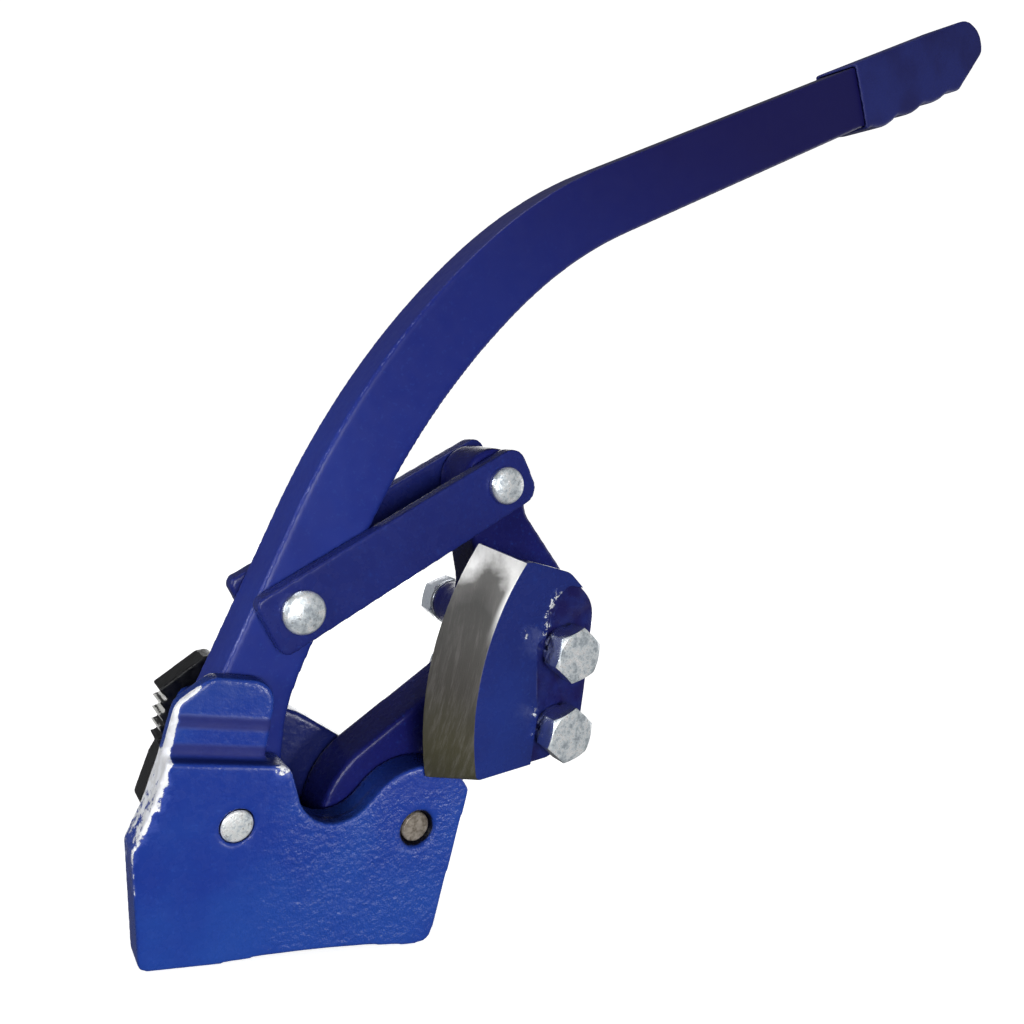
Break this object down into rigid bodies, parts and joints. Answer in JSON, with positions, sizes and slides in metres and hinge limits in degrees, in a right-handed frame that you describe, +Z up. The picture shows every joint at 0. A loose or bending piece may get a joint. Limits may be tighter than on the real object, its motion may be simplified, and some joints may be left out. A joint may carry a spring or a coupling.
{
  "type": "drum deheader",
  "caption": "Manual drum deheader: a bent hand lever drives a bolted bevelled blade on a pivoting arm through a pair of links, past a cast body.",
  "frame": {"origin": "on the sole of the body, straight below the lever pivot, in the mid plane of the lever", "axes": "+X along the sole towards the blade arm, +Y from the blade side to the nut side, +Z up"},
  "size_m": [0.3205, 0.1014, 0.4342],
  "materials": {
    "paint": "gloss",
    "vinyl": "satin",
    "zinc": "bright",
    "blade_steel": "ground",
    "pin_steel": "turned",
    "black_oxide": "oxide",
    "bronze": "satin"
  },
  "bodies": {
    "body": {"body_casting": "paint", "lever_pin": "zinc", "arm_pin": "pin_steel", "lever_pin_ring": "black_oxide", "arm_pin_ring": "black_oxide", "gripper_jaw": "black_oxide", "jaw_screw_upper": "black_oxide", "jaw_screw_lower": "black_oxide"},
    "lever": {"lever": "paint", "lever_grip": "vinyl", "lever_bush": "bronze", "link_rivet_lower": "zinc"},
    "links": {"link_front": "paint", "link_rear": "paint", "link_rivet_upper": "zinc"},
    "arm": {"blade_arm": "paint", "arm_bush": "bronze", "cutting_blade": "blade_steel", "blade_bolt_upper": "zinc", "flat_washer_upper": "zinc", "spring_washer_upper": "zinc", "blade_nut_upper": "zinc", "blade_bolt_lower": "zinc", "flat_washer_lower": "zinc", "spring_washer_lower": "zinc", "blade_nut_lower": "zinc"}
  },
  "joints": [
    {"name": "lever_pivot", "type": "hinge", "parent": "body", "child": "lever", "pos_m": [0, 0, 0.0425], "axis": [0, -1, 0], "range_deg": [0, 60]},
    {"name": "link_pivot", "type": "hinge", "parent": "lever", "child": "links", "pos_m": [0.0076, 0, 0.1074], "axis": [0, -1, 0], "range_deg": [-56, 0]},
    {"name": "arm_pivot", "type": "hinge", "parent": "body", "child": "arm", "pos_m": [0.0625, 0, 0.0405], "axis": [0, -1, 0], "range_deg": [0, 36]}
  ],
  "couplings": [
    {"joint": "arm_pivot", "follows": "lever_pivot", "ratio": 0.57},
    {"joint": "link_pivot", "follows": "lever_pivot", "ratio": -0.88}
  ]
}
